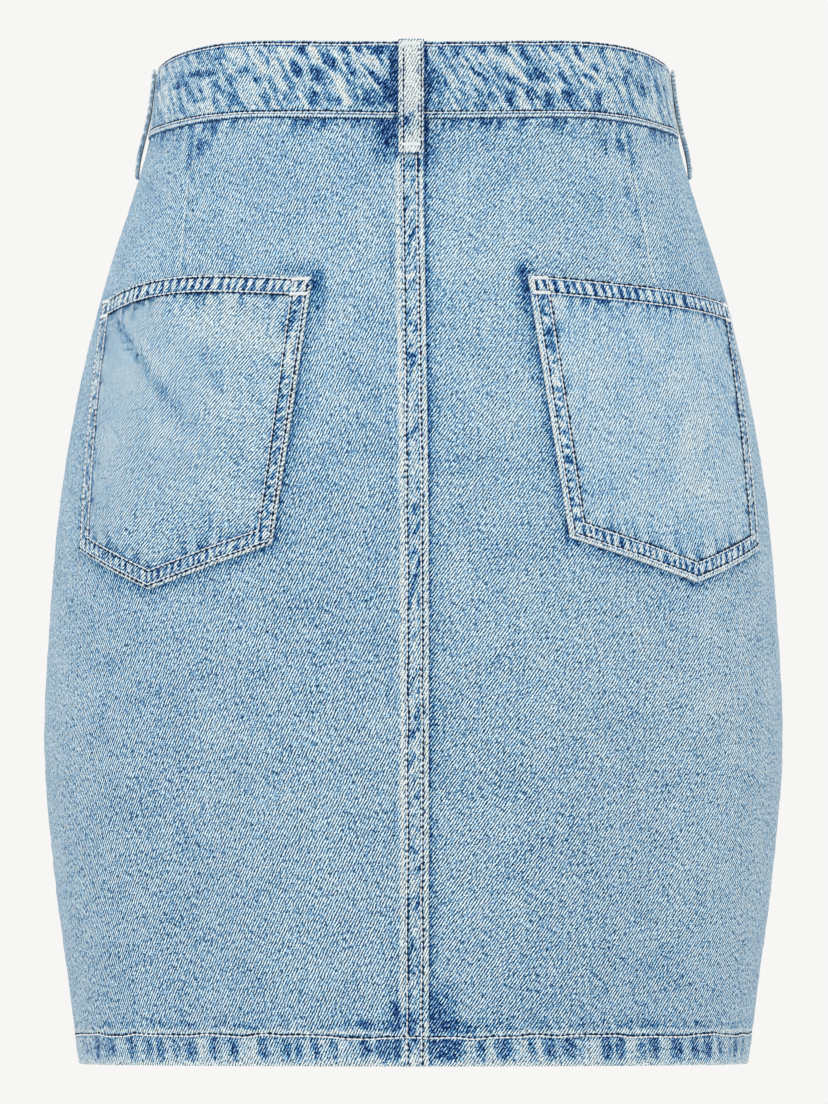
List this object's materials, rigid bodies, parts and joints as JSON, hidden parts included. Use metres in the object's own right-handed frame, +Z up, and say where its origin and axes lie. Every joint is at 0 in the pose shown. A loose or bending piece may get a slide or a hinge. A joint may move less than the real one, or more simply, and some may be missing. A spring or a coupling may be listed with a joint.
{
  "type": "denim skirt",
  "caption": "High-waisted denim mini skirt, filled out as worn, with patch pockets on the back, lapped centre seams, belt loops, a zip fly and a shank button.",
  "frame": {"origin": "middle of the waist, halfway up the waistband, where the wearer's waist holds the skirt", "axes": "+Z up; the skirt's back faces -Y and its front +Y; the wearer's right is +X"},
  "size_m": [0.3826, 0.2472, 0.5222],
  "materials": {
    "denim": "stonewashed cotton twill",
    "band_denim": "stonewashed cotton twill, two layers",
    "pocket_denim": "stonewashed cotton twill",
    "loop_denim": "worn pale cotton twill",
    "zip_tape": "woven tape",
    "antique_metal": "antique, pressed"
  },
  "bodies": {
    "root": {"back_left": "denim", "back_right": "denim", "front_left": "denim", "front_right": "denim", "waistband_back": "band_denim", "waistband_front_left": "band_denim", "waistband_front_right": "band_denim", "pocket_left": "pocket_denim", "pocket_right": "pocket_denim", "loop_back": "loop_denim", "loop_side_left": "loop_denim", "loop_side_right": "loop_denim", "loop_front_left": "loop_denim", "loop_front_right": "loop_denim", "zip": "zip_tape", "waist_button": "antique_metal"}
  },
  "joints": []
}
